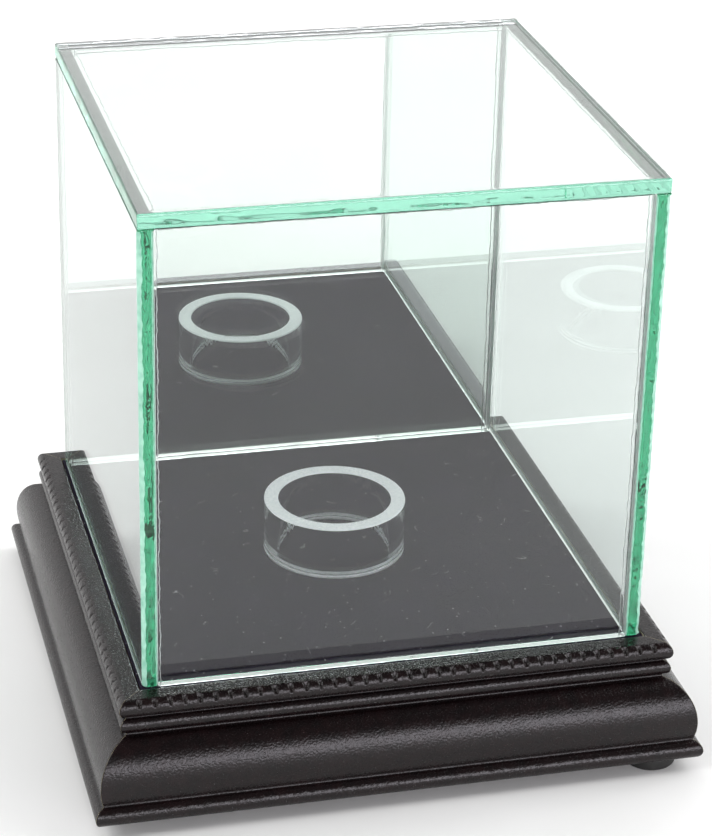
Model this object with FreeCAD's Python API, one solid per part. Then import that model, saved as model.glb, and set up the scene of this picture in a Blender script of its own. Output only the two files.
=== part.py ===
import FreeCAD, Part
import math
import os

# A table-top display case for one ball. Four mitred rails of carved moulding make a low
# base with a lined floor board let into it. A five-pane glass cover, whose back pane is a
# mirror, stands loose on the lining inside the rails. A short ring of clear tube stands on
# the lining and holds the ball. The origin is at the centre of the four feet's ground
# plane, +Z is up and -Y is the front. All sizes are in millimetres.

INCH = 25.4

# Driving dimensions: cover and ring
CAVITY = 4.0 * INCH             # clear width and depth inside the cover
WALL_HEIGHT = 101.2             # clear height under the top pane
GLASS = INCH / 8.0              # pane thickness
ARRIS = 0.2                     # ground-off edge of a pane
BACKING = 0.15                  # silver and paint behind the mirror pane
SEAM_LEG = 1.2                  # leg of the adhesive fillet in an inside corner
RING_OUTER = 1.25 * INCH
RING_INNER = 1.0 * INCH
RING_HEIGHT = 12.2
RING_CENTRE = (-0.8, 0.5)       # it stands loose, a little off the middle

# Driving dimensions: base
RAIL_HEIGHT = 1.0 * INCH
RAIL_WIDTH = 0.75 * INCH        # from the outermost lip to the inside wall
OUTER_HALF = 66.0               # half of the base's outside width
COVER_GAP = 0.8                 # between the cover and the rails, all round
FLOOR_DROP = 0.3                # from the rails' top down to the lining
LINING = 0.4
BOARD = 3.0
BOARD_GAP = 0.25                # between the board and the rails, all round
FOOT_HEIGHT = 3.0
FOOT_TOP_R = 6.35
FOOT_BOTTOM_R = 5.65
FOOT_CENTRES = {                # stuck on by eye, so no two are placed alike
    "front_left": (-54.5, -54.0), "front_right": (56.3, -58.8),
    "back_right": (56.5, 57.0), "back_left": (-56.0, 56.4)}

# Driving dimensions: carving and fastenings
BEAD_PITCH = INCH / 8.0
NOTCH_R = 0.6
NOTCH_LEAN = 0.8                # how far a notch runs along the rail on its way down the lip
NOTCH_TOP = (58.0, 0.6)         # where a notch's axis enters above the lip, as in the profile
NOTCH_FOOT = (60.7, -2.9)       # and where it leaves below
NAIL_CORNER = 60.0              # apex of a corner nail, from the centre planes
NAIL_LEG = 8.0
NAIL_SHEET = 0.5
NAIL_DEPTH = 10.0
BRAD_LINE = 51.0                # from the centre plane to a row of brads
BRAD_SPACING = 60.0
BRAD_R = 0.6
BRAD_LENGTH = 10.0
BRAD_HEAD_R = 1.1
BRAD_HEAD = 0.5

# Sizes that follow from them
COVER_HALF = CAVITY / 2 + GLASS
WALL_HALF = COVER_HALF + COVER_GAP
LEDGE_HALF = OUTER_HALF - RAIL_WIDTH
RAIL_TOP = FOOT_HEIGHT + RAIL_HEIGHT
FLOOR_Z = RAIL_TOP - FLOOR_DROP
BOARD_TOP = FLOOR_Z - LINING
LEDGE_Z = BOARD_TOP - BOARD
CEILING_Z = FLOOR_Z + WALL_HEIGHT

# Moulding profile: how far out from the centre plane, and how far down from the rails' top
LIP_EDGE = (58.3, 0.0)
LIP_NOSE = (59.8, -2.0)
LIP_UNDER = (59.2, -3.6)
QUIRK_1 = (58.2, -4.2)
BEAD_START = (58.7, -4.5)
BEAD_NOSE = (59.6, -5.9)
BEAD_UNDER = (59.1, -7.3)
QUIRK_2 = (58.2, -8.0)
TORUS_CENTRE = (57.9, -17.6)
TORUS_HALF = (6.8, 9.2)
TORUS_START = math.radians(83)
TORUS_END = math.radians(-21)
TORUS_STEPS = 9
FOOT_LIP_START = (64.1, -21.5)
FOOT_LIP_NOSE = (OUTER_HALF, -23.6)
FOOT_LIP_END = (65.2, -RAIL_HEIGHT)

SIDES = {"front": 0, "right": 90, "back": 180, "left": 270}
CORNERS = {"front_left": (-1, -1), "front_right": (1, -1), "back_right": (1, 1), "back_left": (-1, 1)}
UP = FreeCAD.Vector(0, 0, 1)
CENTRE = FreeCAD.Vector(0, 0, 0)
MARGIN = 1.0                    # how far a cutting tool reaches past what it cuts


def box(low, high):
    """A box between two opposite corners."""
    size = [b - a for a, b in zip(low, high)]
    return Part.makeBox(*size, FreeCAD.Vector(*low))


def turned(shape, side):
    """A copy of a shape drawn for the front, turned to another side."""
    return shape.copy().rotate(CENTRE, UP, SIDES[side])


def section_point(point):
    """A profile point on the front rail's section plane, through the middle of the rail."""
    out, down = point
    return FreeCAD.Vector(0, -out, RAIL_TOP + down)


def line(start, end):
    return Part.LineSegment(section_point(start), section_point(end)).toShape()


def arc(start, middle, end):
    return Part.Arc(section_point(start), section_point(middle), section_point(end)).toShape()


def torus_points():
    """Points down the big convex face, a quarter and a bit of an ellipse."""
    step = (TORUS_END - TORUS_START) / TORUS_STEPS
    angles = [TORUS_START + step * i for i in range(TORUS_STEPS + 1)]
    return [(TORUS_CENTRE[0] + TORUS_HALF[0] * math.cos(a),
             TORUS_CENTRE[1] + TORUS_HALF[1] * math.sin(a)) for a in angles]


def rail_section():
    """The closed face of the moulding: rabbet inside, carved lip, bead, torus and foot lip outside."""
    torus = torus_points()
    torus_curve = Part.BSplineCurve()
    torus_curve.interpolate([section_point(p) for p in torus])
    ledge = LEDGE_Z - RAIL_TOP
    edges = [
        line((LEDGE_HALF, -RAIL_HEIGHT), (LEDGE_HALF, ledge)),
        line((LEDGE_HALF, ledge), (WALL_HALF, ledge)),
        line((WALL_HALF, ledge), (WALL_HALF, 0.0)),
        line((WALL_HALF, 0.0), LIP_EDGE),
        arc(LIP_EDGE, LIP_NOSE, LIP_UNDER),
        line(LIP_UNDER, QUIRK_1),
        line(QUIRK_1, BEAD_START),
        arc(BEAD_START, BEAD_NOSE, BEAD_UNDER),
        line(BEAD_UNDER, QUIRK_2),
        line(QUIRK_2, torus[0]),
        torus_curve.toShape(),
        line(torus[-1], FOOT_LIP_START),
        arc(FOOT_LIP_START, FOOT_LIP_NOSE, FOOT_LIP_END),
        line(FOOT_LIP_END, (LEDGE_HALF, -RAIL_HEIGHT)),
    ]
    return Part.Face(Part.Wire(edges))


def lip_notches():
    """Slanting round cuts along the front lip, which leave a rope of beads."""
    half_run = LIP_EDGE[0] - BEAD_PITCH
    count = int(half_run / BEAD_PITCH)
    lean = FreeCAD.Vector(NOTCH_LEAN, 0, 0)
    start = section_point(NOTCH_TOP) - lean
    axis = section_point(NOTCH_FOOT) + lean - start
    cuts = []
    for i in range(-count, count + 1):
        along = FreeCAD.Vector(i * BEAD_PITCH, 0, 0)
        cuts.append(Part.makeCylinder(NOTCH_R, axis.Length, start + along, axis))
    return cuts


def corner_nail(corner):
    """A V-shaped sheet nail driven up from below, one leg in each of two rails."""
    sx, sy = CORNERS[corner]
    apex_x, apex_y = sx * NAIL_CORNER, sy * NAIL_CORNER
    z = (FOOT_HEIGHT, FOOT_HEIGHT + NAIL_DEPTH)
    across = sorted((apex_x, apex_x - sx * NAIL_LEG))
    along = sorted((apex_y, apex_y - sy * NAIL_LEG))
    sheet_x = sorted((apex_x, apex_x - sx * NAIL_SHEET))
    sheet_y = sorted((apex_y, apex_y - sy * NAIL_SHEET))
    leg_x = box((across[0], sheet_y[0], z[0]), (across[1], sheet_y[1], z[1]))
    leg_y = box((sheet_x[0], along[0], z[0]), (sheet_x[1], along[1], z[1]))
    return leg_x.fuse(leg_y).removeSplitter()


def brad(x):
    """One brad of the front row, with its head flush with the board's top."""
    tip = FreeCAD.Vector(x, -BRAD_LINE, BOARD_TOP - BRAD_LENGTH)
    under_head = FreeCAD.Vector(x, -BRAD_LINE, BOARD_TOP - BRAD_HEAD)
    shank = Part.makeCylinder(BRAD_R, BRAD_LENGTH - BRAD_HEAD, tip)
    head = Part.makeCylinder(BRAD_HEAD_R, BRAD_HEAD, under_head)
    return shank.fuse(head).removeSplitter()


def brads():
    front_row = [brad(-BRAD_SPACING / 2), brad(BRAD_SPACING / 2)]
    return [turned(one, side) for side in SIDES for one in front_row]


def rail(side, fastenings):
    """One length of moulding, mitred at both ends and cut out for its nails and brads."""
    run = FreeCAD.Vector(2 * OUTER_HALF, 0, 0)
    start = FreeCAD.Vector(-OUTER_HALF, 0, 0)
    length = rail_section().translated(start).extrude(run)
    reach = OUTER_HALF + MARGIN
    mitre = [CENTRE, FreeCAD.Vector(reach, -reach, 0), FreeCAD.Vector(-reach, -reach, 0), CENTRE]
    wedge = Part.Face(Part.makePolygon(mitre)).extrude(UP * (RAIL_TOP + MARGIN))
    carved = length.common(wedge).cut(lip_notches())
    return turned(carved, side).cut(fastenings)


def floor_board(fastenings):
    half = WALL_HALF - BOARD_GAP
    return box((-half, -half, LEDGE_Z), (half, half, BOARD_TOP)).cut(fastenings)


def floor_lining():
    half = WALL_HALF - BOARD_GAP
    return box((-half, -half, BOARD_TOP), (half, half, FLOOR_Z))


def foot(corner):
    """A stick-on round bumper, a little narrower at the ground."""
    centre = FreeCAD.Vector(*FOOT_CENTRES[corner], 0)
    return Part.makeCone(FOOT_BOTTOM_R, FOOT_TOP_R, FOOT_HEIGHT, centre)


def pane(low, high):
    """A glass plate with all its edges ground off a little."""
    plate = box(low, high)
    return plate.makeChamfer(ARRIS, plate.Edges)


def cover_panes():
    """Front and back stand between the sides, and the top lies on all four."""
    inner = CAVITY / 2
    outer = COVER_HALF
    low, high = FLOOR_Z, CEILING_Z
    return {
        "pane_front": pane((-inner, -outer, low), (inner, -inner, high)),
        "pane_left": pane((-outer, -outer, low), (-inner, outer, high)),
        "pane_right": pane((inner, -outer, low), (outer, outer, high)),
        "pane_back_mirror": pane((-inner, inner, low), (inner, outer - BACKING, high)),
        "pane_top": pane((-outer, -outer, high), (outer, outer, high + GLASS)),
        "mirror_backing": box((-inner, outer - BACKING, low), (inner, outer, high)),
    }


def fillet_strip(corner, along_x, along_y, run):
    """A strip of adhesive with two flat faces at right angles and a hollow third face."""
    a = corner + along_x * SEAM_LEG
    b = corner + along_y * SEAM_LEG
    hollow = 1 - math.sqrt(0.5)
    middle = corner + (along_x + along_y) * (SEAM_LEG * hollow)
    edges = [Part.LineSegment(corner, a).toShape(), Part.Arc(a, middle, b).toShape(),
             Part.LineSegment(b, corner).toShape()]
    return Part.Face(Part.Wire(edges)).extrude(run)


def upright_seam(corner):
    sx, sy = CORNERS[corner]
    foot_of_seam = FreeCAD.Vector(sx * CAVITY / 2, sy * CAVITY / 2, FLOOR_Z)
    in_x = FreeCAD.Vector(-sx, 0, 0)
    in_y = FreeCAD.Vector(0, -sy, 0)
    return fillet_strip(foot_of_seam, in_x, in_y, UP * WALL_HEIGHT)


def top_seam(side):
    """Under the top pane along one wall, between the two upright seams."""
    half = CAVITY / 2 - SEAM_LEG
    start = FreeCAD.Vector(-half, -CAVITY / 2, CEILING_Z)
    strip = fillet_strip(start, FreeCAD.Vector(0, 1, 0), UP * -1, FreeCAD.Vector(2 * half, 0, 0))
    return turned(strip, side)


def ball_ring():
    centre = FreeCAD.Vector(*RING_CENTRE, FLOOR_Z)
    tube = Part.makeCylinder(RING_OUTER / 2, RING_HEIGHT, centre)
    return tube.cut(Part.makeCylinder(RING_INNER / 2, RING_HEIGHT, centre))


def all_nodes():
    """Every piece of the case by name."""
    nails = [corner_nail(corner) for corner in CORNERS]
    brad_set = brads()
    fastenings = nails + brad_set
    nodes = {"rail_" + side: rail(side, fastenings) for side in SIDES}
    nodes["mitre_nails"] = Part.makeCompound(nails)
    nodes["board_brads"] = Part.makeCompound(brad_set)
    nodes["floor_board"] = floor_board(brad_set)
    nodes["floor_lining"] = floor_lining()
    for corner in CORNERS:
        nodes["foot_" + corner] = foot(corner)
        nodes["seam_" + corner] = upright_seam(corner)
    for side in SIDES:
        nodes["seam_top_" + side] = top_seam(side)
    nodes.update(cover_panes())
    nodes["ball_ring"] = ball_ring()
    return nodes


os.makedirs("parts", exist_ok=True)
for name, shape in all_nodes().items():
    shape.exportStep("parts/" + name + ".step")
    print(name, "solids", len(shape.Solids), "valid", shape.isValid(), "volume", round(shape.Volume, 2))
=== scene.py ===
import math

import bpy
import numpy as np
from mathutils import Matrix, Vector


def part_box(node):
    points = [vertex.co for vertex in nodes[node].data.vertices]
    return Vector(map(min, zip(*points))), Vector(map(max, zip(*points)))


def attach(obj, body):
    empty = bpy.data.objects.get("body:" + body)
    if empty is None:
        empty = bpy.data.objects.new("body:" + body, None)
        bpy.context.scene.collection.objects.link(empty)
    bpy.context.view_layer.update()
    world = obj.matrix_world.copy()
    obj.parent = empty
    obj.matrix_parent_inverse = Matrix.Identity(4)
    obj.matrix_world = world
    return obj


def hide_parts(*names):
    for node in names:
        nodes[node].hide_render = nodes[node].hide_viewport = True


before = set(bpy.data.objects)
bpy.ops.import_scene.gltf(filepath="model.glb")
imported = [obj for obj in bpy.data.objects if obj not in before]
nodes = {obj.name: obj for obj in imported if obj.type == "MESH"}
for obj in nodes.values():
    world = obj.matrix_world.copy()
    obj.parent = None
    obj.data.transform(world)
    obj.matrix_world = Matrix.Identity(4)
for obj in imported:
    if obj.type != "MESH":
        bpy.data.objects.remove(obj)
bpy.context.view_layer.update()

MM = 0.001                      # one millimetre in the scene's metres


# ---- Rails -------------------------------------------------------------------------------
# Four lengths of picture-frame moulding, machined from poplar, mitred and nailed together.
# The lip is embossed with a row of beads. All but the rabbet inside is sprayed satin black.

RAIL_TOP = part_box("rail_front")[1].z / MM
RAIL_HEIGHT = RAIL_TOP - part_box("rail_front")[0].z / MM
WALL_HALF = 54.775              # inside wall of the rails, from the centre planes
LEDGE_HALF = 46.95
LEDGE_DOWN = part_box("floor_board")[0].z / MM - RAIL_TOP
MITRE_HAIRLINE = 0.05           # each end is short of the mitre plane by this
BEAD_PITCH = 3.175
BEAD_COLUMNS = 16               # grid columns for each bead
BEADED_HALF = 59                # half the length of a rail at its lip
ARCH_CENTRE = 2.1               # how far down the lip the middle of a bead is
ARCH_HALF_HEIGHT = 2.3
ARCH_HALF_WIDTH = 0.41          # of the pitch
SPANDREL_EDGE = 0.08            # of the arch's size, over which the cut reaches its depth
SPANDREL_START = 58.42          # where the cut's flat floor meets the top
SPANDREL_SLOPE = 0.36           # how far out its floor runs for each millimetre down
SIDE_TURNS = {"front": 0, "right": 90, "back": 180, "left": 270}


def arc_through(start, middle, end, count):
    """Points on the circle through three points: its centre is where the two chords' upright
    bisectors meet, and the angle runs evenly from the first point's to the last's."""
    a, b, c = (np.array(p, float) for p in (start, middle, end))
    square = np.array([b @ b - a @ a, c @ c - a @ a]) / 2
    centre = np.linalg.solve(np.array([b - a, c - a]), square)
    radius = np.linalg.norm(a - centre)
    angle = np.unwrap([math.atan2(*(p - centre)[::-1]) for p in (a, b, c)])
    turn = np.linspace(angle[0], angle[2], count)
    return centre + radius * np.stack([np.cos(turn), np.sin(turn)], axis=1)


def straight(start, end, count):
    """Evenly spaced points from start up to, but without, end."""
    share = np.arange(count)[:, None] / count
    return np.array(start, float) * (1 - share) + np.array(end, float) * share


def torus_face(count):
    """The big convex face: an ellipse about a centre, from near its top to below its middle."""
    turn = np.radians(np.linspace(83, -21, count))
    return np.stack([57.9 + 6.8 * np.cos(turn), -17.6 + 9.2 * np.sin(turn)], axis=1)


def moulding_profile():
    """The rail's closed outline as (out from the centre plane, down from the top), with the
    number of its first row on the lip and of its first row below the lip."""
    inside = np.vstack([
        straight((LEDGE_HALF, -RAIL_HEIGHT), (LEDGE_HALF, LEDGE_DOWN), 4),
        straight((LEDGE_HALF, LEDGE_DOWN), (WALL_HALF, LEDGE_DOWN), 3),
        straight((WALL_HALF, LEDGE_DOWN), (WALL_HALF, -0.25), 5),
        arc_through((WALL_HALF, -0.25), (WALL_HALF + 0.07, -0.07), (WALL_HALF + 0.25, 0), 4),
        straight((WALL_HALF + 0.6, 0), (58.3, 0), 9),
    ])
    lip = arc_through((58.3, 0), (59.8, -2.0), (59.2, -3.6), 26)
    outside = np.vstack([
        straight((58.7, -3.95), (58.2, -4.2), 2),
        arc_through((58.2, -4.2), (58.32, -4.42), (58.7, -4.5), 4)[:-1],
        arc_through((58.7, -4.5), (59.6, -5.9), (59.1, -7.3), 10),
        arc_through((58.6, -7.6), (58.2, -8.0), (58.73, -8.47), 5)[:-1],
        torus_face(28),
        arc_through((64.1, -21.5), (66.0, -23.6), (65.2, -RAIL_HEIGHT), 12),
    ])
    return np.vstack([inside, lip, outside]), len(inside), len(inside) + len(lip)


def spandrels(along, down):
    """How much of the cut between the beads applies at each point, from 0 to 1. Round each
    bead's middle, q is the distance in ellipses. Outside the ellipse, where q is over 1, the
    share grows on a smooth step, and it dies out below the beads' middles."""
    t = along / BEAD_PITCH
    t = t - np.round(t)
    q = np.hypot(t / ARCH_HALF_WIDTH, (down - ARCH_CENTRE) / ARCH_HALF_HEIGHT)
    share = np.clip((q - 1) / SPANDREL_EDGE, 0, 1)
    above = np.clip((ARCH_CENTRE + 0.3 - down) / 0.9, 0, 1)
    return share ** 2 * (3 - 2 * share) * above


def grid_quads(rows, columns, close_rows=False, close_columns=False):
    """Corner numbers of every cell in a grid of points stored row by row. A closed direction
    joins its last line of points to its first."""
    i, j = np.meshgrid(np.arange(rows - (not close_rows)),
                       np.arange(columns - (not close_columns)), indexing="ij")
    i2, j2 = (i + 1) % rows, (j + 1) % columns
    cells = [i * columns + j, i * columns + j2, i2 * columns + j2, i2 * columns + j]
    return np.stack(cells, axis=-1).reshape(-1, 4)


def piece(name, points, faces, materials, slots=None, smooth=None):
    """A mesh object at the origin from points in millimetres and lists of corner numbers."""
    mesh = bpy.data.meshes.new(name)
    mesh.from_pydata((np.asarray(points) * MM).tolist(), [], faces)
    for material in materials:
        mesh.materials.append(material)
    count = len(mesh.polygons)
    mesh.polygons.foreach_set("material_index", np.zeros(count, int) if slots is None else slots)
    mesh.polygons.foreach_set("use_smooth", np.ones(count, bool) if smooth is None else smooth)
    mesh.update()
    made = bpy.data.objects.new(name, mesh)
    bpy.context.scene.collection.objects.link(made)
    return made


def turned(points, degrees):
    """Points turned about the upright axis through the origin."""
    c, s = math.cos(math.radians(degrees)), math.sin(math.radians(degrees))
    return points @ np.array([[c, s, 0], [-s, c, 0], [0, 0, 1]])


def rail_mesh(name, degrees, seed, materials):
    """Rows follow the profile and columns run along the rail. A column is a fixed share of
    the half length at its own distance out, so both ends lie on the mitre planes."""
    outline, lip_start, lip_end = moulding_profile()
    columns = int(2 * BEADED_HALF / BEAD_PITCH) * BEAD_COLUMNS + 1
    share = np.linspace(-1, 1, columns)
    out = outline[:, :1] * np.ones(columns)
    down = outline[:, 1:] * np.ones(columns)
    along = (outline[:, :1] - MITRE_HAIRLINE) * share
    lip = slice(lip_start - 4, lip_end)
    run = np.cumsum(np.linalg.norm(np.diff(outline[lip], axis=0, prepend=outline[lip][:1]), axis=1))
    run -= run[4]
    draws = np.random.default_rng(seed)
    bead_number = np.round(along[lip] / BEAD_PITCH).astype(int) + 40
    depth = 1 + draws.normal(0, 0.1, 81)[bead_number]
    shift = draws.normal(0, 0.08, 81)[bead_number]
    end_fade = np.clip((out[lip] - np.abs(along[lip]) - 0.9) / 0.6, 0, 1)
    share = spandrels(along[lip] + shift, run[:, None] * np.ones(columns)) * depth * end_fade
    floor_out = SPANDREL_START - SPANDREL_SLOPE * down[lip]
    out[lip] -= np.clip(share, 0, 1) * np.clip(out[lip] - floor_out, 0, None)
    points = np.stack([along, -out, RAIL_TOP + down], axis=-1).reshape(-1, 3)
    rows = len(outline)
    faces = grid_quads(rows, columns, close_rows=True).tolist()
    first = (np.arange(rows) * columns).tolist()
    last = (np.arange(rows) * columns + columns - 1).tolist()
    bare = (outline[:, 0] < WALL_HALF + 0.01) & (outline[:, 1] < -0.2)
    slots = np.append(np.repeat(bare.astype(int), columns - 1), [1, 1])
    smooth = np.append(np.ones(rows * (columns - 1), bool), [False, False])
    return piece(name, turned(points, degrees), faces + [first, last[::-1]], materials, slots, smooth)


def linear(hex_code):
    """A linear colour from an sRGB hex code: each channel is divided by 12.92 near black and
    raised to the power 2.4 above."""
    value = int(hex_code.lstrip("#"), 16)
    srgb = np.array([value >> 16, value >> 8 & 255, value & 255]) / 255
    toe, rest = srgb / 12.92, ((srgb + 0.055) / 1.055) ** 2.4
    return (*np.where(srgb <= 0.04045, toe, rest).tolist(), 1.0)


def add(tree, kind, inputs=None, stops=None, **settings):
    """Adds a shader node with its settings. Each input takes a number, a hex colour or the
    output that feeds it, and a colour ramp takes its stops."""
    made = tree.nodes.new("ShaderNode" + kind)
    for name, value in settings.items():
        setattr(made, name, value)
    for socket, value in (inputs or {}).items():
        if isinstance(value, bpy.types.NodeSocket):
            tree.links.new(value, made.inputs[socket])
        else:
            made.inputs[socket].default_value = linear(value) if isinstance(value, str) else value
    for place, (position, shade) in enumerate(stops or []):
        ramp = made.color_ramp.elements
        stop = ramp[place] if place < 2 else ramp.new(position)
        stop.position = position
        stop.color = linear(shade) if isinstance(shade, str) else (shade, shade, shade, 1)
    return made


def new_material(name):
    """An empty node material and its Object coordinates."""
    material = bpy.data.materials.new(name)
    material.use_nodes = True
    material.node_tree.nodes.clear()
    return material, material.node_tree, add(material.node_tree, "TexCoord").outputs["Object"]


def finish_material(tree, shader, volume=None):
    """Joins the shader, and the volume if there is one, to the material's output."""
    output = add(tree, "OutputMaterial", {"Surface": shader.outputs[0]})
    if volume:
        tree.links.new(volume.outputs[0], output.inputs["Volume"])


def per_metre(size_mm):
    """The texture scale that repeats once in a size given in millimetres."""
    return 1 / (size_mm * MM)


# Satin black lacquer sprayed on poplar: a warm near-black. The wood's raised grain and the
# spray's orange peel break its sheen into fine sparkling specks.
satin_black, tree, place = new_material("satin_black_lacquer_on_poplar")
speck = add(tree, "TexNoise", {"Vector": place, "Scale": per_metre(0.45), "Detail": 1.5,
                               "Roughness": 0.5})
peel = add(tree, "TexNoise", {"Vector": place, "Scale": per_metre(2.6), "Detail": 2.0})
tint = add(tree, "ValToRGB", {"Fac": peel.outputs["Fac"]},
           [(0.35, "#0c0607"), (0.7, "#150a0b")])
sheen = add(tree, "MapRange", {"Value": speck.outputs["Fac"], "From Min": 0.35, "From Max": 0.7,
                               "To Min": 0.2, "To Max": 0.3})
bump_peel = add(tree, "Bump", {"Height": peel.outputs["Fac"], "Strength": 0.35,
                               "Distance": 0.10 * MM})
bump_speck = add(tree, "Bump", {"Height": speck.outputs["Fac"], "Strength": 0.9,
                                "Distance": 0.09 * MM, "Normal": bump_peel.outputs["Normal"]})
finish_material(tree, add(tree, "BsdfPrincipled", {
    "Base Color": tint.outputs["Color"], "Roughness": sheen.outputs["Result"], "IOR": 1.4,
    "Normal": bump_speck.outputs["Normal"]}))

# Bare poplar in the rabbet: pale greyish tan, planed, with black overspray that has crept in.
bare_poplar, tree, place = new_material("bare_poplar_with_overspray")
grain = add(tree, "TexNoise", {"Vector": place, "Scale": per_metre(1.6), "Detail": 4.0})
wood = add(tree, "ValToRGB", {"Fac": grain.outputs["Fac"]},
           [(0.3, "#a39a80"), (0.7, "#c9c2a8")])
overspray = add(tree, "TexNoise", {"Vector": place, "Scale": per_metre(2.2), "Detail": 5.0,
                                   "Roughness": 0.7})
sprayed = add(tree, "ValToRGB", {"Fac": overspray.outputs["Fac"]}, [(0.56, 0.0), (0.64, 1.0)])
blotched = add(tree, "MixRGB", {"Fac": sprayed.outputs["Color"], "Color1": wood.outputs["Color"],
                                "Color2": "#2a2624"})
fibre = add(tree, "Bump", {"Height": grain.outputs["Fac"], "Strength": 0.4,
                           "Distance": 0.08 * MM})
finish_material(tree, add(tree, "BsdfPrincipled", {
    "Base Color": blotched.outputs["Color"], "Roughness": 0.75, "IOR": 1.45,
    "Normal": fibre.outputs["Normal"]}))

for number, (side, turn) in enumerate(SIDE_TURNS.items()):
    rail = rail_mesh("moulding_" + side, turn, 11 + number, [satin_black, bare_poplar])
    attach(rail, "base")
    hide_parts("rail_" + side)


# ---- Nails and brads ---------------------------------------------------------------------
# Pressed steel V-nails across the mitres and round wire brads through the floor board.
# Bright drawn steel, dulled a little, with the drawing marks as a faint streak.
drawn_steel, tree, place = new_material("drawn_steel")
streak = add(tree, "TexNoise", {"Vector": place, "Scale": per_metre(0.9), "Detail": 3.0})
dullness = add(tree, "MapRange", {"Value": streak.outputs["Fac"], "To Min": 0.25, "To Max": 0.5})
shade = add(tree, "ValToRGB", {"Fac": streak.outputs["Fac"]}, [(0.3, "#8f9092"), (0.7, "#c2c3c4")])
finish_material(tree, add(tree, "BsdfPrincipled", {
    "Base Color": shade.outputs["Color"], "Metallic": 1.0, "Roughness": dullness.outputs["Result"]}))
for name in ("mitre_nails", "board_brads"):
    nodes[name].data.materials.clear()
    nodes[name].data.materials.append(drawn_steel)


# ---- Floor board and lining --------------------------------------------------------------
# A square of 3 mm hardboard sits on the rails' ledges. Its matt black paper lining faces up
# into the case and has gathered lint.
hardboard, tree, place = new_material("pressed_hardboard")
fibres = add(tree, "TexNoise", {"Vector": place, "Scale": per_metre(1.1), "Detail": 6.0,
                                "Roughness": 0.7})
brown = add(tree, "ValToRGB", {"Fac": fibres.outputs["Fac"]},
            [(0.3, "#6b4a30"), (0.5, "#835d3e"), (0.75, "#9c7650")])
mesh_marks = add(tree, "Bump", {"Height": fibres.outputs["Fac"], "Strength": 0.5,
                                "Distance": 0.15 * MM})
finish_material(tree, add(tree, "BsdfPrincipled", {
    "Base Color": brown.outputs["Color"], "Roughness": 0.8, "IOR": 1.45,
    "Normal": mesh_marks.outputs["Normal"]}))
nodes["floor_board"].data.materials.clear()
nodes["floor_board"].data.materials.append(hardboard)

# Matt black paper: almost no sheen, softly clouded, with pale specks of dust. Each speck is a
# round dot in its own cell of a random pattern, kept only where the cell's random value is
# high, and drawn up to 0.4 mm wide to show. Lint lies where a large wandering pattern passes
# its middle value, in few places.
DUST_SPACING = 3.6
black_paper, tree, place = new_material("matt_black_paper_with_dust")
tooth = add(tree, "TexNoise", {"Vector": place, "Scale": per_metre(9), "Detail": 3.0})
black = add(tree, "ValToRGB", {"Fac": tooth.outputs["Fac"]}, [(0.3, "#150d1e"), (0.75, "#1c1226")])
cells = add(tree, "TexVoronoi", {"Vector": place, "Scale": per_metre(DUST_SPACING)}, feature="F1",
            voronoi_dimensions="2D")
dot = add(tree, "ValToRGB", {"Fac": cells.outputs["Distance"]}, [(0.02, 1.0), (0.06, 0.0)])
pick = add(tree, "SeparateColor", {"Color": cells.outputs["Color"]})
kept = add(tree, "ValToRGB", {"Fac": pick.outputs["Red"]}, [(0.5, 0.0), (1.0, 0.8)])
dust = add(tree, "Math", {0: dot.outputs["Color"], 1: kept.outputs["Color"]}, operation="MULTIPLY")
wander = add(tree, "TexNoise", {"Vector": place, "Scale": per_metre(5), "Detail": 1.0})
thread = add(tree, "ValToRGB", {"Fac": wander.outputs["Fac"]},
             [(0.494, 0.0), (0.50, 0.6), (0.506, 0.0)])
patch = add(tree, "TexNoise", {"Vector": place, "Scale": per_metre(3.1), "Detail": 0.0})
few = add(tree, "ValToRGB", {"Fac": patch.outputs["Fac"]}, [(0.68, 0.0), (0.72, 1.0)])
lint = add(tree, "Math", {0: thread.outputs["Color"], 1: few.outputs["Color"]},
           operation="MULTIPLY")
litter = add(tree, "Math", {0: dust.outputs["Value"], 1: lint.outputs["Value"]},
             operation="MAXIMUM")
dusty = add(tree, "MixRGB", {"Fac": litter.outputs["Value"], "Color1": black.outputs["Color"],
                             "Color2": "#c4c2c8"})
finish_material(tree, add(tree, "BsdfPrincipled", {
    "Base Color": dusty.outputs["Color"], "Roughness": 0.85, "IOR": 1.26}))
nodes["floor_lining"].data.materials.clear()
nodes["floor_lining"].data.materials.append(black_paper)


# ---- Feet --------------------------------------------------------------------------------
# Four stick-on bumpers, moulded in soft black rubber, with a rounded rim on the ground.

FOOT_TOP_RADIUS = 6.35
FOOT_GROUND_RADIUS = 5.65
FOOT_HEIGHT = 3.0
FOOT_RIM = 0.6                  # radius of the rounded rim
FOOT_COLUMNS = 48


def spun(outline, columns):
    """A closed surface of revolution about the upright axis: the profile's first number is
    the radius and its second the height, and each end is closed with one flat face."""
    turn = np.arange(columns) * 2 * math.pi / columns
    points = np.stack([outline[:, :1] * np.cos(turn), outline[:, :1] * np.sin(turn),
                       outline[:, 1:] * np.ones(columns)], axis=-1)
    faces = grid_quads(len(outline), columns, close_columns=True).tolist()
    bottom = np.arange(columns)[::-1].tolist()
    top = (np.arange(columns) + (len(outline) - 1) * columns).tolist()
    return points.reshape(-1, 3), faces + [bottom, top]


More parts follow.
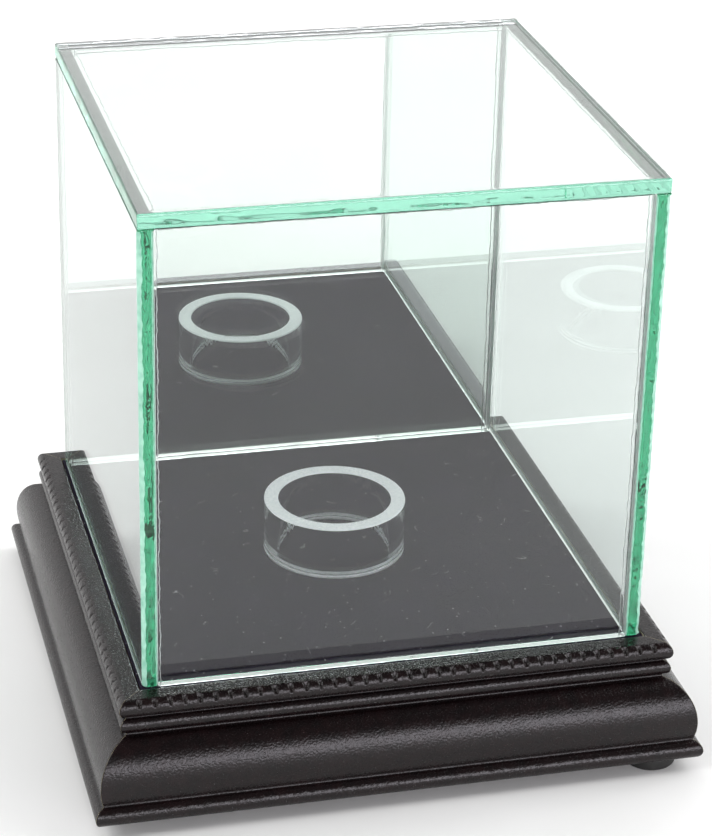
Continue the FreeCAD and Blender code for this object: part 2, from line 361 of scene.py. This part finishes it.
# Moulded natural rubber: dull black with a bloom of grey dust, slightly rough from its mould.
black_rubber, tree, place = new_material("moulded_black_rubber")
bloom = add(tree, "TexNoise", {"Vector": place, "Scale": per_metre(1.8), "Detail": 4.0})
grey = add(tree, "ValToRGB", {"Fac": bloom.outputs["Fac"]}, [(0.35, "#171717"), (0.8, "#2c2b2a")])
mould = add(tree, "Bump", {"Height": bloom.outputs["Fac"], "Strength": 0.3, "Distance": 0.08 * MM})
finish_material(tree, add(tree, "BsdfPrincipled", {
    "Base Color": grey.outputs["Color"], "Roughness": 0.6, "IOR": 1.5,
    "Normal": mould.outputs["Normal"]}))

foot_outline = np.vstack([
    arc_through((FOOT_GROUND_RADIUS - FOOT_RIM, 0), (FOOT_GROUND_RADIUS - 0.17, 0.19),
                (FOOT_GROUND_RADIUS + 0.05, FOOT_RIM), 7),
    straight((FOOT_GROUND_RADIUS + 0.1, 0.9), (FOOT_TOP_RADIUS, FOOT_HEIGHT), 5),
    [(FOOT_TOP_RADIUS, FOOT_HEIGHT)],
])
for corner in ("front_left", "front_right", "back_right", "back_left"):
    low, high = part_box("foot_" + corner)
    points, faces = spun(foot_outline, FOOT_COLUMNS)
    flat_ends = np.append(np.ones(len(faces) - 2, bool), [False, False])
    middle = [(low.x + high.x) / 2 / MM, (low.y + high.y) / 2 / MM, 0]
    foot = piece("bumper_" + corner, points + middle, faces, [black_rubber], smooth=flat_ends)
    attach(foot, "base")
    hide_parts("foot_" + corner)


# ---- Glass cover -------------------------------------------------------------------------
# Five squares of 1/8 inch float glass, scored, snapped and seamed by hand on a belt, then
# glued edge to face. The big faces are perfectly flat. The edges are chipped and rippled.

GLASS = 3.175
GLUE_LINE = 0.03                # each edge stands off its neighbour by this
EDGE_STEP = 0.25                # spacing of points along an edge
CORNER_RADIUS = 0.4
MIDDLE_ROWS = 7                 # rows of points between the two ground-off corners
CHIP_DEPTH = 0.2
RIPPLE_DEPTH = 0.010            # of the fracture's slanting ripples
RIPPLE_LENGTH = 1.1
SILVER_GAP = 0.02               # between the silvered face and its backing paint


def ripple(distance, wavelengths, draws):
    """A smooth wander between about -1 and 1: sine waves of the given lengths with random
    starts, averaged."""
    waves = np.array(wavelengths)[:, None]
    starts = draws.uniform(0, 2 * math.pi, len(wavelengths))[:, None]
    return np.sin(distance[None, :] * 2 * math.pi / waves + starts).mean(axis=0)


def rounded_square(half_p, half_q, radius):
    """Points once round a rectangle with round corners, each with its outward direction, its
    distance along the outline and the number of its side, counted from the low-q side."""
    place, outward, side = [], [], []
    for number in range(4):
        half_run, half_off = (half_p, half_q) if number % 2 == 0 else (half_q, half_p)
        count = int(2 * (half_run - radius) / EDGE_STEP)
        run = np.linspace(-half_run + radius, half_run - radius, count)
        flat = np.stack([run, np.full(count, -half_off)], axis=1)
        flat_out = np.tile([0.0, -1.0], (count, 1))
        bend = np.radians(np.linspace(-90, 0, 6)[1:-1])
        bend_out = np.stack([np.cos(bend), np.sin(bend)], axis=1)
        curve = np.array([half_run - radius, -half_off + radius]) + radius * bend_out
        c, s = [(1, 0), (0, 1), (-1, 0), (0, -1)][number]
        spin = np.array([[c, s], [-s, c]])
        place.append(np.vstack([flat, curve]) @ spin)
        outward.append(np.vstack([flat_out, bend_out]) @ spin)
        side.append(np.full(count + len(bend), number))
    place, outward = np.vstack(place), np.vstack(outward)
    step = np.linalg.norm(np.diff(place, axis=0, prepend=place[:1]), axis=1)
    return place, outward, np.cumsum(step), np.concatenate(side)


def by_side(values, side):
    """Each point's value from one value a side, averaged with its four nearest neighbours so
    that the value runs smoothly round the corners."""
    flat = np.array(values, float)[side]
    return np.mean([np.roll(flat, shift) for shift in range(-2, 3)], axis=0)


def chipped(distance, across, density, draws):
    """How deep the edge is bitten at each point: every chip is a shallow slanting bowl, one
    minus the squared distance from its middle in its own length and height, and the deepest
    one counts."""
    length = distance[-1]
    count = int(length * density)
    middle = draws.uniform(0, length, count)
    level = draws.uniform(0, GLASS, count)
    half_long = draws.uniform(1.0, 4.5, count)
    half_high = draws.uniform(0.25, 0.9, count)
    lean = draws.uniform(0.8, 3.0, count)
    depth = draws.uniform(0.2, 1.0, count) * CHIP_DEPTH
    rise = across[..., None] - level
    u = (distance[None, :, None] - middle + lean * rise) / half_long
    return (np.clip(1 - u ** 2 - (rise / half_high) ** 2, 0, 1) * depth).max(axis=-1)


def pane(name, low, high, axis, finishes, arris, materials, seed, back_slot=0):
    """A glass plate. Its outline is carried across the thickness in rows: the first and last
    three round off the corners, and those between are bitten by chips and ripples. Two flat
    faces close it."""
    draws = np.random.default_rng(seed)
    low, high = np.array(low, float), np.array(high, float)
    flat_axes = [(1, 2), (0, 2), (0, 1)][axis]
    centre = (low + high) / 2
    half_p, half_q = [(high - low)[a] / 2 - GLUE_LINE for a in flat_axes]
    thick = (high - low)[axis]
    place, outward, distance, side = rounded_square(half_p, half_q, CORNER_RADIUS)
    kinds, arris_share, chip_share, wave_share, ripple_share = zip(
        *[EDGE_FINISHES[kind] for kind in finishes])
    near, far = [width * by_side(arris_share, side)
                 * (1 + 0.3 * ripple(distance, [23, 11.3, 5.1, 2.3], draws)) for width in arris]
    zero = 0 * near
    share = np.linspace(0, 1, MIDDLE_ROWS)[:, None]
    between = (near * (1 - share) + (thick - far) * share)
    across = np.vstack([zero, 0.35 * near, between, thick - 0.35 * far, thick + zero])
    corner = np.vstack([near, 0.45 * near, 0.05 * near, np.zeros((MIDDLE_ROWS - 2, len(near))),
                        0.05 * far, 0.45 * far, far])
    bite = chipped(distance, across, 0.5, draws) * by_side(chip_share, side)
    bite[0] *= 0.3
    bite[-1] *= 0.3
    patches = np.clip(0.3 + ripple(distance, [27, 11.9], draws), 0, 1)
    slant = np.sin(2 * math.pi * (distance + 0.9 * across) / RIPPLE_LENGTH)
    ripples = RIPPLE_DEPTH * (1 + slant) * patches * by_side(ripple_share, side)
    waves = 0.02 * (1 + ripple(distance, [41, 17], draws)) * by_side(wave_share, side)
    set_in = corner + bite + waves + ripples
    flat = place[None] - outward[None] * set_in[..., None]
    points = np.zeros((len(across), len(distance), 3))
    points[..., flat_axes[0]] = centre[flat_axes[0]] + flat[..., 0]
    points[..., flat_axes[1]] = centre[flat_axes[1]] + flat[..., 1]
    points[..., axis] = low[axis] + across
    rows, columns = points.shape[:2]
    cells = grid_quads(rows, columns, close_columns=True)
    start, end = np.arange(columns), np.arange(columns) + (rows - 1) * columns
    if axis == 1:
        cells, start, end = cells[:, ::-1], start[::-1], end[::-1]
    faces = cells.tolist() + [start[::-1].tolist(), end.tolist()]
    kind = np.tile(np.array(kinds)[side], (rows - 1, 1))
    front_edge = np.array([finish == "chipped" for finish in finishes])[side]
    kind[np.ix_([0, 1, -2, -1], front_edge)] = GROUND
    slots = np.append(kind.ravel(), [CLEAR, back_slot])
    smooth = np.append(np.ones(len(cells), bool), [False, False])
    return piece(name, points.reshape(-1, 3), faces, materials, slots, smooth)


def green_glass(name, density):
    """Clear polished glass. Its iron takes out red most and blue next, in proportion to the
    path, so it only looks green along the pane."""
    material, tree, place = new_material(name)
    finish_material(tree, add(tree, "BsdfPrincipled", {
        "Base Color": "#ffffff", "Roughness": 0.0, "IOR": 1.52, "Transmission Weight": 1.0}),
        add(tree, "VolumeAbsorption", {"Color": "#45ddbc", "Density": density}))
    return material


def frosted_glass(name, size_mm, stops, roughness):
    """Broken or ground glass, which is too rough to see through: a mottled pale colour. The pale
    green is the ground corners' own colour; the near white given for the upright ends is painted
    light, for the light piped along the glass to them.
    """
    material, tree, place = new_material(name)
    flake = add(tree, "TexNoise", {"Vector": place, "Scale": per_metre(size_mm), "Detail": 3.0})
    green = add(tree, "ValToRGB", {"Fac": flake.outputs["Fac"]}, stops)
    relief = add(tree, "Bump", {"Height": flake.outputs["Fac"], "Strength": 0.4,
                                "Distance": 0.1 * MM})
    finish_material(tree, add(tree, "BsdfPrincipled", {
        "Base Color": green.outputs["Color"], "Roughness": roughness, "IOR": 1.52,
        "Normal": relief.outputs["Normal"]}))
    return material


# Soda-lime float glass. The side panes are cut from a greener sheet.
float_glass = green_glass("clear_float_glass", 11.0)
greener_glass = green_glass("greener_float_glass", 26.0)
# Corners ground off on a belt. The upright ends, glued edge to face, are painted near white: painted
# light for the light piped along the glass and out at them.
ground_corner = frosted_glass("belt_ground_glass_corner", 1.5,
                              [(0.3, "#7fb8a2"), (0.7, "#a8d8c4")], 0.35)
painted_bright_end = frosted_glass("glass_end_painted_bright", 2.4, [(0.3, "#e2fff2"), (0.7, "#ffffff")], 0.3)
# Silver precipitated on the back pane's rear face, seen through the glass.
silver, tree, place = new_material("mirror_silver_behind_glass")
finish_material(tree, add(tree, "BsdfPrincipled", {
    "Base Color": "#f2f5f2", "Metallic": 1.0, "Roughness": 0.0}))

CLEAR, GROUND, PAINTED_BRIGHT_END, SILVERED = 0, 1, 2, 3
# The material of an edge, then its shares of the arris, chips, waves and ripples.
EDGE_FINISHES = {
    "plain": (CLEAR, 1.0, 0.08, 1.0, 0.0),
    "rippled": (CLEAR, 1.0, 0.1, 1.0, 0.25),
    "chipped": (CLEAR, 1.0, 1.0, 1.0, 1.0),
    "snapped": (CLEAR, 0.3, 0.0, 0.0, 0.0),
    "glued": (CLEAR, 0.15, 0.0, 0.0, 0.0),
    # The bonded upright ends take the near-white end material, which is painted light.
    "bonded": (PAINTED_BRIGHT_END, 0.15, 0.0, 0.3, 0.0),
}
# For each pane: the axis of its thickness, the finishes of its low-q, high-p, high-q and
# low-p sides, and the arris at its low and high face.
PANES = {
    "front": (1, ("snapped", "bonded", "glued", "bonded"), (0.25, 0.25)),
    "left": (0, ("snapped", "plain", "glued", "chipped"), (0.85, 0.35)),
    "right": (0, ("snapped", "plain", "glued", "chipped"), (0.35, 0.85)),
    "top": (2, ("rippled", "plain", "plain", "plain"), (0.25, 0.3)),
    "back_mirror": (1, ("snapped", "bonded", "glued", "bonded"), (0.25, 0.25)),
}
for number, (name, (axis, finishes, arris)) in enumerate(PANES.items()):
    low, high = (np.array(corner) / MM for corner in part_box("pane_" + name))
    body = greener_glass if name in ("left", "right") else float_glass
    glass_set = [body, ground_corner, painted_bright_end, silver]
    if name == "back_mirror":
        high[1] -= SILVER_GAP
    sheet = pane("glass_" + name, low, high, axis, finishes, arris, glass_set, 31 + number,
                 back_slot=SILVERED if name == "back_mirror" else CLEAR)
    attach(sheet, "cover")
    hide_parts("pane_" + name)

# Mirror backing paint: grey, rolled on, with faint roller streaks.
backing, tree, place = new_material("grey_mirror_backing_paint")
roller = add(tree, "Mapping", {"Vector": place, "Scale": (1.0, 1.0, 0.12)})
streaks = add(tree, "TexNoise", {"Vector": roller.outputs["Vector"], "Scale": per_metre(1.4),
                                 "Detail": 3.0})
grey = add(tree, "ValToRGB", {"Fac": streaks.outputs["Fac"]}, [(0.3, "#6f757a"), (0.7, "#7f868b")])
rolled = add(tree, "Bump", {"Height": streaks.outputs["Fac"], "Strength": 0.25,
                            "Distance": 0.05 * MM})
finish_material(tree, add(tree, "BsdfPrincipled", {
    "Base Color": grey.outputs["Color"], "Roughness": 0.45, "IOR": 1.5,
    "Normal": rolled.outputs["Normal"]}))
nodes["mirror_backing"].data.materials.clear()
nodes["mirror_backing"].data.materials.append(backing)


# ---- Adhesive seams ----------------------------------------------------------------------
# Hollow beads of clear adhesive in the inside corners, wiped with a finger, so their feather
# edges wander and have gone white.

CAVITY_HALF = 50.8
SEAM_LEG = 1.2
SEAM_GAP = 0.03
SEAM_STEP = 0.6
FLOOR_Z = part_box("floor_lining")[1].z / MM
CEILING_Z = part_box("pane_top")[0].z / MM


def seam(name, start, run, in_a, in_b, seed, materials):
    """A three-sided strip along a corner. Its legs wander with the distance, its third face is
    a quarter circle hollow, and the narrow outermost cell of each leg is the white feather."""
    draws = np.random.default_rng(seed)
    length = np.linalg.norm(run)
    count = int(length / SEAM_STEP)
    along = np.linspace(0.05, length - 0.05, count)
    leg_a = SEAM_LEG * (0.8 + 0.2 * ripple(along, [29, 12, 5.3, 2.2], draws))
    leg_b = SEAM_LEG * (0.8 + 0.2 * ripple(along, [31, 14, 4.7, 1.8], draws))
    turn = np.linspace(0, math.pi / 2, 7)
    face_a = 1 - np.sin(turn)
    face_b = 1 - np.cos(turn)
    section_a = np.concatenate([[0.0, 0.8], [1.0], face_a[1:-1], [0.0, 0.0]])
    section_b = np.concatenate([[0.0, 0.0], [0.02], face_b[1:-1], [1.0, 0.8]])
    across = (section_a[:, None, None] * leg_a[None, :, None] + SEAM_GAP) * np.array(in_a)
    across = across + (section_b[:, None, None] * leg_b[None, :, None] + SEAM_GAP) * np.array(in_b)
    direction = np.array(run, float) / length
    points = np.array(start) + across + along[None, :, None] * direction
    rows, columns = points.shape[:2]
    cells = grid_quads(rows, columns, close_rows=True)
    ends = [(np.arange(rows) * columns).tolist(), (np.arange(rows) * columns + columns - 1).tolist()]
    if np.dot(np.cross(in_a, in_b), direction) > 0:
        cells = cells[:, ::-1]
        ends = [ends[0][::-1], ends[1]]
    else:
        ends = [ends[0], ends[1][::-1]]
    feather = np.isin(np.arange(rows), [1, rows - 2])
    slots = np.append(np.repeat(feather.astype(int), columns - 1), [0, 0])
    smooth = np.append(np.ones(rows * (columns - 1), bool), [False, False])
    return piece(name, points.reshape(-1, 3), cells.tolist() + ends, materials, slots, smooth)


# Clear ultraviolet-cured adhesive, glossy, nearly the glass's own index.
clear_adhesive, tree, place = new_material("clear_cured_adhesive")
finish_material(tree, add(tree, "BsdfPrincipled", {
    "Base Color": "#ffffff", "Roughness": 0.0, "IOR": 1.06, "Transmission Weight": 1.0}))
# Its feather edge: whitened where it is thin and has lifted.
feather_edge, tree, place = new_material("whitened_adhesive_feather")
lift = add(tree, "TexNoise", {"Vector": place, "Scale": per_metre(1.5), "Detail": 3.0})
white = add(tree, "ValToRGB", {"Fac": lift.outputs["Fac"]}, [(0.3, "#d5dad9"), (0.7, "#ffffff")])
finish_material(tree, add(tree, "BsdfPrincipled", {
    "Base Color": white.outputs["Color"], "Roughness": 0.4, "IOR": 1.49}))
seam_materials = [clear_adhesive, feather_edge]

for number, (corner, (sx, sy)) in enumerate({
        "front_left": (-1, -1), "front_right": (1, -1), "back_right": (1, 1),
        "back_left": (-1, 1)}.items()):
    strip = seam("adhesive_" + corner, (sx * CAVITY_HALF, sy * CAVITY_HALF, FLOOR_Z),
                 (0, 0, CEILING_Z - FLOOR_Z), (-sx, 0, 0), (0, -sy, 0), 51 + number, seam_materials)
    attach(strip, "cover")
    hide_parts("seam_" + corner)
for number, (side, turn) in enumerate(SIDE_TURNS.items()):
    half = CAVITY_HALF - SEAM_LEG
    start = turned(np.array([-half, -CAVITY_HALF, CEILING_Z]), turn)
    strip = seam("adhesive_top_" + side, start, turned(np.array([2.0 * half, 0, 0]), turn),
                 turned(np.array([0, 1.0, 0]), turn), np.array([0, 0, -1.0]), 61 + number,
                 seam_materials)
    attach(strip, "cover")
    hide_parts("seam_top_" + side)


# ---- Ball ring ---------------------------------------------------------------------------
# A slice of clear cast acrylic tube, 1 1/4 inch outside and 1 inch inside, sawn off at both
# ends. The walls are clear and the sawn ends are white with small chips along their corners. A white
# band painted up the walls from the foot is painted light.

RING_OUTER = 15.875
RING_INNER = 12.7
RING_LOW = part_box("ball_ring")[0].z / MM
RING_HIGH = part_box("ball_ring")[1].z / MM
RING_MIDDLE = [(a + b) / 2 / MM for a, b in zip(*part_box("ball_ring"))][:2] + [0]
RING_STANDOFF = 0.02
RING_COLUMNS = 360
SAW_CHIP = 0.16                 # deepest chip at a sawn corner
WALL, FROST_AND_PAINTED_BRIGHT, FOOT = 0, 1, 2     # the materials of its faces
TOP_BAND = 0.3                  # how far the frost runs down the walls from the top
FOOT_BAND_PAINTED_BRIGHT = 0.7                 # how far the white runs up them from the foot: painted light for the bright rim the lit foot shows through the clear walls


def ring_mesh(name, seed, materials):
    """A closed tube slice: the profile runs out along the bottom, up the outside, in along the
    top and down the bore. Only its four corner rows are chipped, by short random bites."""
    low, high = RING_LOW + RING_STANDOFF, RING_HIGH
    outline = np.array([
        (RING_INNER, low, 1), (RING_INNER + FOOT_BAND_PAINTED_BRIGHT, low, 0),
        (RING_OUTER - FOOT_BAND_PAINTED_BRIGHT, low, 0), (RING_OUTER, low, -1),
        (RING_OUTER, low + FOOT_BAND_PAINTED_BRIGHT, 0), (RING_OUTER, (low + high) / 2, 0),
        (RING_OUTER, high - TOP_BAND, 0), (RING_OUTER, high, -1), (RING_OUTER - TOP_BAND, high, 0),
        (RING_INNER + TOP_BAND, high, 0), (RING_INNER, high, 1), (RING_INNER, high - TOP_BAND, 0),
        (RING_INNER, (low + high) / 2, 0), (RING_INNER, low + FOOT_BAND_PAINTED_BRIGHT, 0)])
    draws = np.random.default_rng(seed)
    turn = np.arange(RING_COLUMNS) * 2 * math.pi / RING_COLUMNS
    bites = np.abs(draws.normal(0, 0.35, (len(outline), RING_COLUMNS))) ** 1.5 * SAW_CHIP
    radius = outline[:, :1] + outline[:, 2:] * np.clip(bites, 0, SAW_CHIP)
    points = np.stack([radius * np.cos(turn), radius * np.sin(turn),
                       outline[:, 1:2] * np.ones(RING_COLUMNS)], axis=-1)
    faces = grid_quads(len(outline), RING_COLUMNS, close_rows=True, close_columns=True)
    kinds = np.full(len(outline), WALL)
    # Rows 3 and 13, up the walls from the foot, are painted white as painted light: the bright rim of
    # the lit foot seen through the walls.
    kinds[[3, 6, 7, 8, 9, 10, 13]] = FROST_AND_PAINTED_BRIGHT
    kinds[[0, 1, 2]] = FOOT
    slots = np.repeat(kinds, RING_COLUMNS)
    return piece(name, points.reshape(-1, 3) + RING_MIDDLE, faces.tolist(), materials, slots)


# Cast acrylic: clear and colourless, IOR 1.49.
clear_acrylic, tree, place = new_material("clear_cast_acrylic")
finish_material(tree, add(tree, "BsdfPrincipled", {
    "Base Color": "#fbfdfd", "Roughness": 0.0, "IOR": 1.49, "Transmission Weight": 1.0}))
# Sawn acrylic: white frost from the saw's fine marks. The same white on a band up the walls from the
# foot is painted light.
sawn_frost_and_painted_bright, tree, place = new_material("sawn_frost_and_painted_bright_acrylic")
frost = add(tree, "TexNoise", {"Vector": place, "Scale": per_metre(0.6), "Detail": 5.0})
white = add(tree, "ValToRGB", {"Fac": frost.outputs["Fac"]}, [(0.3, "#e4e8eb"), (0.7, "#fdfeff")])
saw_marks = add(tree, "Bump", {"Height": frost.outputs["Fac"], "Strength": 0.5,
                               "Distance": 0.06 * MM})
finish_material(tree, add(tree, "BsdfPrincipled", {
    "Base Color": white.outputs["Color"], "Roughness": 0.5, "IOR": 1.49,
    "Normal": saw_marks.outputs["Normal"]}))
# The lower end, sawn finer: it turns light back up into the wall and so looks bright.
sawn_foot, tree, place = new_material("fine_sawn_acrylic_foot")
finish_material(tree, add(tree, "BsdfPrincipled", {
    "Base Color": "#ffffff", "Roughness": 0.18, "IOR": 1.49, "Transmission Weight": 1.0}))

ring = ring_mesh("sawn_tube_ring", 71, [clear_acrylic, sawn_frost_and_painted_bright, sawn_foot])
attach(ring, "ring")
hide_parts("ball_ring")


# ---- Table, light and camera -------------------------------------------------------------
# A plain white table that runs out of sight, a pale soft surround that darkens overhead, and
# soft lights to the sides and low in front.

bpy.context.scene.view_settings.view_transform = "Standard"
bpy.context.scene.view_settings.look = "None"
# Light inside a pane's edge is reflected many times before it comes out.
bpy.context.scene.cycles.max_bounces = 48
bpy.context.scene.cycles.glossy_bounces = 48
bpy.context.scene.cycles.transmission_bounces = 48
TABLE_HALF = 4.0

table_paint, tree, place = new_material("white_table")
mottle = add(tree, "TexNoise", {"Vector": place, "Scale": per_metre(60), "Detail": 2.0})
white = add(tree, "ValToRGB", {"Fac": mottle.outputs["Fac"]}, [(0.3, "#f4f4f3"), (0.7, "#f9f9f8")])
finish_material(tree, add(tree, "BsdfPrincipled", {
    "Base Color": white.outputs["Color"], "Roughness": 0.7}))
table_mesh = bpy.data.meshes.new("table")
corners = [(-1, -1), (1, -1), (1, 1), (-1, 1)]
table_mesh.from_pydata([(x * TABLE_HALF, y * TABLE_HALF, 0) for x, y in corners], [], [(0, 1, 2, 3)])
table_mesh.materials.append(table_paint)
table = bpy.data.objects.new("table", table_mesh)
bpy.context.scene.collection.objects.link(table)

world = bpy.data.worlds.new("soft_surround")
world.use_nodes = True
world.node_tree.nodes.clear()
tree = world.node_tree
direction = add(tree, "TexCoord")
parts = add(tree, "SeparateXYZ", {"Vector": direction.outputs["Generated"]})
shade = add(tree, "ValToRGB", {"Fac": parts.outputs["Z"]}, [(0.46, 1.0), (0.58, 0.1)])
sky = add(tree, "Background", {"Color": shade.outputs["Color"], "Strength": 1.22})
add(tree, "OutputWorld", {"Surface": sky.outputs["Background"]})
bpy.context.scene.world = world


def softbox(name, position, target, width, height, radiance, tint):
    """A rectangular soft light facing a point, with a faint tint: its power is its radiance
    times its area times pi."""
    data = bpy.data.lights.new(name, "AREA")
    data.shape = "RECTANGLE"
    data.size, data.size_y = width, height
    data.energy = radiance * width * height * math.pi
    data.color = tint
    made = bpy.data.objects.new(name, data)
    bpy.context.scene.collection.objects.link(made)
    made.location = position
    aim = np.array(target, float) - np.array(position, float)
    made.rotation_mode = "QUATERNION"
    made.rotation_quaternion = Vector(aim).to_track_quat("-Z", "Y")
    return made


softbox("light_left", (-1.7, 0.1, 1.6), (0, 0, 0.05), 1.5, 1.3, 4.6, (1.0, 1.0, 1.0))
softbox("light_right", (1.7, 0.2, 1.6), (0, 0, 0.05), 1.5, 1.3, 4.9, (1.0, 1.0, 1.0))
softbox("light_back", (0.0, 1.3, 2.0), (0, 0, 0.05), 2.0, 1.2, 2.6, (1.0, 0.99, 1.0))
softbox("light_front", (0.55, -1.75, 0.41), (0, 0, 0.05), 1.2, 0.5, 6.0, (1.0, 0.95, 1.04))

CAMERA_PLACE = (-0.1360, -0.5426, 0.3252)
CAMERA_AZIMUTH, CAMERA_HEIGHT, CAMERA_ROLL = np.radians([-14.46, 25.39, 1.38])
CAMERA_LENS = 119.88            # millimetres, on the usual 36 mm long side
back = np.array([math.sin(CAMERA_AZIMUTH) * math.cos(CAMERA_HEIGHT),
                 -math.cos(CAMERA_AZIMUTH) * math.cos(CAMERA_HEIGHT), math.sin(CAMERA_HEIGHT)])
level = np.cross(-back, (0, 0, 1))
level /= np.linalg.norm(level)
upward = np.cross(level, -back)
right = math.cos(CAMERA_ROLL) * level + math.sin(CAMERA_ROLL) * upward
upward = -math.sin(CAMERA_ROLL) * level + math.cos(CAMERA_ROLL) * upward
camera_data = bpy.data.cameras.new("camera")
camera_data.lens = CAMERA_LENS
camera_data.clip_start, camera_data.clip_end = 0.01, 50.0
camera = bpy.data.objects.new("camera", camera_data)
bpy.context.scene.collection.objects.link(camera)
turn = np.eye(4)
turn[:3, 0], turn[:3, 1], turn[:3, 2], turn[:3, 3] = right, upward, back, CAMERA_PLACE
camera.matrix_world = Matrix(turn.tolist())
bpy.context.scene.camera = camera
